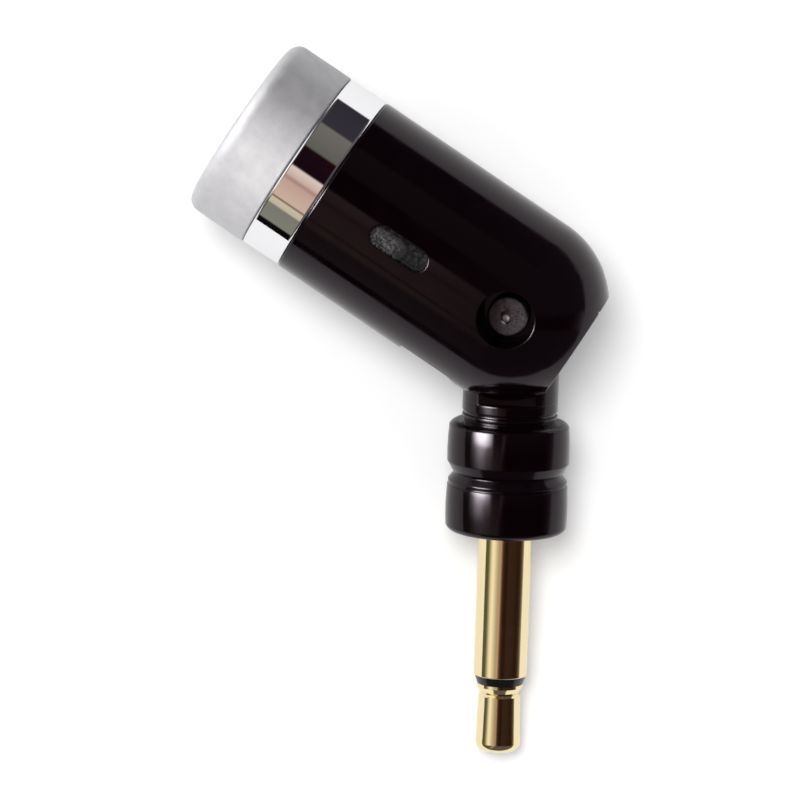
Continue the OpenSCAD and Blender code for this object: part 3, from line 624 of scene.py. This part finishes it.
def makeThread():
    setup = screwThread
    insert = pointsOf("pivot_insert", headFrame)
    low, high = min(p.z for p in insert) + setup["inset"], max(p.z for p in insert) - setup["inset"]
    shank = [math.hypot(p.x, p.y) for p in pointsOf("pivot_screw", headFrame) if p.z < high]
    piece = makeByTree("screw_thread", buildThreadTree(), bpy.data.meshes.new("thread"), {
        "Radius": max(shank) * mm, "Pitch": setup["pitch"] * mm, "Turns": (high - low) / setup["pitch"],
        "Depth": setup["depth"] * mm, "Steps": setup["stepsPerTurn"], "Sides": setup["sides"],
        "Finish": screwSteel})
    piece.data.transform(headFrame @ Matrix.Translation((0, 0, low * mm)))
    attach(piece, "head")


makeThread()

# Leads: a round wire swept along each route. Points are in millimetres, in the head's frame up to the hinge and in
# the stem's frame after it. Each lead keeps to its own side, so the head's points are mirrored for the second one.
leadShape = {
    "diameter": 0.5, "sides": 12, "spacing": 0.25, "bendFrom": (3.4, -0.9, 0), "bendTo": (-3.3, -0.7, 0),
    "throughHead": [
        (-12.35, 0, 1.6), (-10.85, 0, 1.4), (-6.8, 0, 0.42), (-5.1, 0, 0.42), (-3.0, -0.8, 0.42)]}
leads = {
    "signal_wire": {
        "node": "signal_lead", "finish": "redInsulation", "slot": "lead_red", "side": 1,
        "throughStem": [(0.6, -2.1, 0.42), (3.4, -0.9, 0.42), (6.4, -0.65, 0.25), (10.8, -0.65, 0)]},
    "ground_wire": {
        "node": "ground_lead", "finish": "blackInsulation", "slot": "lead_black", "side": -1,
        "throughStem": [
            (0.6, -2.1, -0.42), (3.4, -0.6, -0.42), (6.4, 0.6, -0.25), (8.9, 1.2, 0), (11.4, 1.2, 0)]}}


def buildSweepTree():
    tree, given, result = newTree("GeometryNodeTree", "sweptWire", [
        ("Route", geometrySocket, None), ("Diameter", numberSocket, 0.001), ("Sides", countSocket, 12),
        ("Spacing", numberSocket, 0.001), ("Finish", materialSocket, None)], [("Wire", geometrySocket)])
    line = addNode(tree, "GeometryNodeMeshToCurve", {"Mesh": given.outputs["Route"]})
    kind = addNode(tree, "GeometryNodeCurveSplineType", {"Curve": line.outputs[0]},
                   spline_type="CATMULL_ROM")
    even = addNode(tree, "GeometryNodeResampleCurve", {
        "Curve": kind.outputs[0], "Length": given.outputs["Spacing"]}, mode="LENGTH")
    section = addNode(tree, "GeometryNodeCurvePrimitiveCircle", {
        "Resolution": given.outputs["Sides"],
        "Radius": addMath(tree, "MULTIPLY", given.outputs["Diameter"], 0.5)})
    wire = addNode(tree, "GeometryNodeCurveToMesh", {
        "Curve": even.outputs[0], "Profile Curve": section.outputs[0], "Fill Caps": True})
    smooth = addNode(tree, "GeometryNodeSetShadeSmooth", {"Geometry": wire.outputs[0]})
    endTree(tree, result, smooth.outputs[0], given.outputs["Finish"])
    return tree


def makeLeads():
    tree = buildSweepTree()
    shape = leadShape
    for name, lead in leads.items():
        side = lead["side"]
        points = [headFrame @ (Vector((x, y, side * z)) * mm) for x, y, z in shape["throughHead"]]
        points += [stemFrame @ (Vector(point) * mm) for point in lead["throughStem"]]
        route = bpy.data.meshes.new(name)
        route.from_pydata(points, [(i, i + 1) for i in range(len(points) - 1)], [])
        piece = makeByTree(name, tree, route, {
            "Diameter": shape["diameter"] * mm, "Sides": shape["sides"], "Spacing": shape["spacing"] * mm,
            "Finish": inner[lead["finish"]]})
        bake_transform(piece)
        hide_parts(lead["node"])


makeLeads()
print("small parts made")


# Camera: straight above the table, turned as the photograph is. The height, the centre and the clip
# are in metres, the turn in degrees and the sensor in millimetres.
cameraSetup = {
    "height": 0.300, "centre": (-0.000170, 0.000303), "turn": 34.08, "pixelsPerMillimetre": 15.168,
    "imageWidth": 800, "sensor": 36.0, "clip": (0.01, 10.0)}


def makeCamera():
    setup = cameraSetup
    data = bpy.data.cameras.new("camera")
    data.sensor_width = setup["sensor"]
    widthSeen = setup["imageWidth"] / setup["pixelsPerMillimetre"] * mm
    data.lens = setup["sensor"] * setup["height"] / widthSeen
    data.clip_start, data.clip_end = setup["clip"]
    camera = bpy.data.objects.new("camera", data)
    camera.location = (*setup["centre"], setup["height"])
    camera.rotation_euler = (0, 0, math.radians(setup["turn"]))
    bpy.context.scene.collection.objects.link(camera)
    bpy.context.scene.camera = camera


makeCamera()
imageTurn = math.radians(cameraSetup["turn"])
imageRight = Vector((math.cos(imageTurn), math.sin(imageTurn), 0))
imageUp = Vector((-math.sin(imageTurn), math.cos(imageTurn), 0))
upright = Vector((0, 0, 1))
stemSide = upright.cross(stemAxis).normalized()


# A direction from its shares to the image's right, up the image and straight up
def towards(shares):
    right, up, high = shares
    return imageRight * right + imageUp * up + upright * high


# Table: white, and kept white to the camera while it still shows the shadow. Its size is in metres.
table = {"size": 0.2, "colour": (0.96, 0.96, 0.97, 1), "lift": 0.16}


def makeFlat(name, corners, material):
    mesh = bpy.data.meshes.new(name)
    mesh.from_pydata(corners, [], [(0, 1, 2, 3)])
    mesh.materials.append(material)
    flat = bpy.data.objects.new(name, mesh)
    bpy.context.scene.collection.objects.link(flat)
    return flat


def makeTable():
    material, tree = emptyMaterial("tableWhite")
    paper = addNode(tree, "ShaderNodeBsdfDiffuse", {"Color": table["colour"]})
    path = addNode(tree, "ShaderNodeLightPath")
    seen = addMath(tree, "MULTIPLY", path.outputs["Is Camera Ray"], table["lift"])
    endMaterial(tree, paper, addNode(tree, "ShaderNodeEmission", {"Strength": seen}))
    half = table["size"] / 2
    corners = [(-half, -half, 0), (half, -half, 0), (half, half, 0), (-half, half, 0)]
    top = makeFlat("table", corners, material)


makeTable()

# Room: an even sky, dark walls with one bright side, a soft lamp from above that gives the shadow,
# and three lamps for the satin cap. The head and the plug mirror bands, each at an angle from
# straight up to the side. Angles, spreads and a lamp's width are in degrees, and the bright side's
# spread is in cosines.
room = {
    "fill": (0.45, 0.45, 0.46, 1), "walls": (0.10, 0.093, 0.10, 1),
    "headSpread": (-5.6, -4.0, -0.8, 1.1), "stemSpread": (-8.0, -3.0, 7.0, 12.0),
    "bright": (1.1, 1.1, 1.13, 1), "brightTowards": (-0.80, 0.45, 0.42), "brightSpread": (0.74, 0.95)}
lamps = {
    "lamp": {
        "towards": (-0.15, 0.19, 0.97), "width": 26.0, "strength": 1.78, "colour": (1.0, 0.985, 0.96),
        "link": "EXCLUDE", "pieces": ("head_housing", "stem", "collar", "trim_ring", "front_cap",
                                      "pivot_screw", "plug_sleeve", "plug_insulator", "plug_tip")},
    "capLamp": {
        "towards": (-0.20, -0.30, 0.93), "width": 70.0, "strength": 1.9, "colour": (1.0, 0.99, 0.975),
        "link": "INCLUDE", "pieces": ("front_cap",)},
    "sideLamp": {
        "towards": (-0.53, -0.80, 0.27), "width": 60.0, "strength": 0.9, "colour": (1.0, 1.0, 1.0),
        "link": "INCLUDE", "pieces": ("front_cap",)},
    "frontLamp": {
        "towards": (-0.78, 0.50, 0.40), "width": 50.0, "strength": 3.0, "colour": (1.0, 1.0, 1.0),
        "link": "INCLUDE", "pieces": ("front_cap",)}}
bandReach = 120.0  # the bands go this far to each side
headBands = [  # from the image's upper right to its lower left
    (-120, (0.9, 0.9, 0.92)), (-97, (0.9, 0.9, 0.92)), (-95, (0.03, 0.025, 0.035)),
    (-54, (0.035, 0.03, 0.04)), (-51, (0.16, 0.15, 0.135)), (-20, (0.12, 0.115, 0.10)),
    (-17, (0.010, 0.002, 0.005)), (8, (0.008, 0.002, 0.005)), (10, (0.75, 0.60, 0.54)),
    (20, (0.62, 0.45, 0.38)), (24, (0.40, 0.24, 0.20)), (28, (0.55, 0.37, 0.30)),
    (50, (0.62, 0.46, 0.36)), (52, (0.11, 0.05, 0.03)), (54, (0.62, 0.52, 0.38)),
    (61, (0.55, 0.48, 0.36)), (63, (0.20, 0.20, 0.165)), (85, (0.22, 0.22, 0.18)),
    (87, (0.004, 0.002, 0.003)), (97, (0.004, 0.002, 0.003)), (99, (0.9, 0.9, 0.92)),
    (120, (0.9, 0.9, 0.92))]
stemBands = [  # from the image's left to its right
    (-120, (0.5, 0.5, 0.45)), (-100, (0.5, 0.5, 0.45)), (-96, (0.10, 0.10, 0.056)),
    (-76, (0.10, 0.10, 0.056)), (-67, (0.40, 0.38, 0.30)), (-60, (0.78, 0.74, 0.67)),
    (-51, (0.98, 0.95, 0.88)), (-42, (0.78, 0.73, 0.64)), (-32, (0.52, 0.47, 0.39)),
    (-23, (0.40, 0.35, 0.30)), (-14, (0.187, 0.147, 0.122)), (-6, (0.05, 0.026, 0.017)),
    (3, (0.023, 0.008, 0.005)), (12, (0.021, 0.008, 0.005)), (20, (0.036, 0.018, 0.015)),
    (47, (0.032, 0.016, 0.012)), (67, (0.021, 0.0086, 0.004)), (79, (0.057, 0.037, 0.026)),
    (88, (0.21, 0.19, 0.19)), (94, (0.60, 0.60, 0.60)), (120, (0.8, 0.82, 0.85))]


def bandRamp(tree, angle, bands):
    along = mapRange(tree, angle, -bandReach, bandReach, 0.0, 1.0)
    ramp = addNode(tree, "ShaderNodeValToRGB", {"Fac": along})
    stops = ramp.color_ramp.elements
    while len(stops) < len(bands):
        stops.new(0.5)
    for stop, (place, colour) in zip(stops, bands):
        stop.position = (place + bandReach) / (2 * bandReach)
        stop.color = (*colour, 1)
    return ramp.outputs["Color"]


# One between the inner places, and fading to none at the outer ones
def between(tree, value, outerLow, innerLow, innerHigh, outerHigh):
    rise = mapRange(tree, value, outerLow, innerLow, 0.0, 1.0, smooth=True)
    fall = mapRange(tree, value, innerHigh, outerHigh, 1.0, 0.0, smooth=True)
    return addMath(tree, "MULTIPLY", rise, fall)


def makeRoom():
    world = bpy.data.worlds.new("room")
    bpy.context.scene.world = world
    world.use_nodes = True
    tree = world.node_tree
    tree.nodes.clear()
    direction = addNode(tree, "ShaderNodeTexCoord").outputs["Generated"]

    def leaning(side):  # from straight up towards a side
        angle = addMath(tree, "ARCTAN2", addDot(tree, direction, side), addDot(tree, direction, upright))
        return addMath(tree, "DEGREES", angle)

    def mirrorBands(axis, side, bands, spread, around):  # what a bar mirrors to an eye above it
        ahead = addMath(tree, "DEGREES", addMath(tree, "ARCSINE", addDot(tree, direction, axis)))
        off = addMath(tree, "ADD", ahead, math.degrees(math.asin(axis.z)))
        inside = between(tree, off, *spread)
        return mixColour(tree, inside, around, bandRamp(tree, leaning(side), bands))

    headSide = headAxis.cross(upright).normalized()
    nearBright = addDot(tree, direction, towards(room["brightTowards"]).normalized())
    brightness = mapRange(tree, nearBright, *room["brightSpread"], 0.0, 1.0, smooth=True)
    around = mixColour(tree, brightness, room["walls"], room["bright"])
    mirrored = mirrorBands(stemAxis, stemSide, stemBands, room["stemSpread"], around)
    mirrored = mirrorBands(headAxis, headSide, headBands, room["headSpread"], mirrored)
    path = addNode(tree, "ShaderNodeLightPath")
    mirrorRay = addMath(tree, "MAXIMUM", path.outputs["Is Glossy Ray"], path.outputs["Is Transmission Ray"])
    lit = mixColour(tree, mirrorRay, room["fill"], mirrored)
    seen = mixColour(tree, path.outputs["Is Camera Ray"], lit, (1, 1, 1, 1))
    sky = addNode(tree, "ShaderNodeBackground", {"Color": seen})
    output = addNode(tree, "ShaderNodeOutputWorld")
    tree.links.new(sky.outputs[0], output.inputs["Surface"])


makeRoom()


# Keeps a light to some of the pieces, or off them
def linkLight(light, link, names):
    group = bpy.data.collections.new(light.name + "Pieces")
    for name in names:
        group.objects.link(nodes[name])
    light.light_linking.receiver_collection = group
    for member in group.collection_objects:
        member.light_linking.link_state = link


def makeLamp(name, lamp):
    data = bpy.data.lights.new(name, "SUN")
    data.energy, data.color = lamp["strength"], lamp["colour"]
    data.angle = math.radians(lamp["width"])
    sun = bpy.data.objects.new(name, data)
    sun.rotation_euler = towards(lamp["towards"]).to_track_quat("Z", "Y").to_euler()
    bpy.context.scene.collection.objects.link(sun)
    linkLight(sun, lamp["link"], lamp["pieces"])


for lampName, lampSetup in lamps.items():
    makeLamp(lampName, lampSetup)

# Window: a card beside the plug that the black mouldings mirror. Its bright pane starts where the
# collar's grips tilt towards it, so each grip shines at its hinge end and fades towards the plug.
# It is mirrored at "from", in millimetres along the stem, by a face that leans half of "lean" in
# degrees. Each pane fades in and out over four places in metres, across the card and up it.
window = {
    "from": 9.0, "lean": -54.0, "distance": 0.75, "colour": (0.92, 1.0, 0.95, 1), "glow": 58.0,
    "panes": [
        {"wide": (-0.32, -0.06, 0.04, 0.36), "rise": (0.052, 0.084, 0.36, 0.54), "share": 1.0},
        {"wide": (-0.24, -0.02, 0.00, 0.19), "rise": (-0.06, 0.066, 0.36, 0.54), "share": 0.13},
        {"wide": (-0.36, -0.21, 0.26, 0.36), "rise": (-0.06, 0.054, 0.36, 0.54), "share": 0.032}],
    "notOn": ("trim_ring", "front_cap", "front_grille", "plug_sleeve", "plug_insulator", "plug_tip")}


def makeWindow():
    base = pivot + stemAxis * (window["from"] * mm)
    top = stemAxis.cross(stemSide)
    half = math.radians(window["lean"] / 2)

    def mirrored(angle):
        normal = top * math.cos(angle) + stemSide * math.sin(angle)
        return -upright + 2 * upright.dot(normal) * normal

    nudge = math.radians(0.5)
    centre = base + mirrored(half) * window["distance"]
    across = (mirrored(half + nudge) - mirrored(half - nudge)).normalized()
    rising = mirrored(half).cross(across).normalized()
    if rising.dot(stemAxis) > 0:
        rising = -rising
    wides = [place for pane in window["panes"] for place in pane["wide"]]
    rises = [place for pane in window["panes"] for place in pane["rise"]]
    left, right, low, high = min(wides), max(wides), min(rises), max(rises)
    corners = [centre + across * w + rising * r for w, r in (
        (left, low), (right, low), (right, high), (left, high))]
    material, tree = emptyMaterial("windowGlow")
    where = addNode(tree, "ShaderNodeTexCoord").outputs["Object"]
    wide, rise = (addMath(tree, "SUBTRACT", addDot(tree, where, axis), centre.dot(axis))
                  for axis in (across, rising))
    strength = 0.0
    for pane in window["panes"]:
        inside = addMath(tree, "MULTIPLY", between(tree, wide, *pane["wide"]),
                         between(tree, rise, *pane["rise"]))
        strength = addMath(tree, "MULTIPLY_ADD", inside, pane["share"] * window["glow"], strength)
    glow = addNode(tree, "ShaderNodeEmission", {"Color": window["colour"], "Strength": strength})
    clear = addNode(tree, "ShaderNodeBsdfTransparent")  # the room shows through
    endMaterial(tree, glow, clear)
    card = makeFlat("window", corners, material)
    card.visible_camera = card.visible_diffuse = card.visible_shadow = False
    linkLight(card, "EXCLUDE", window["notOn"])


makeWindow()
bpy.context.scene.view_settings.view_transform = "Standard"
print("studio and camera made")
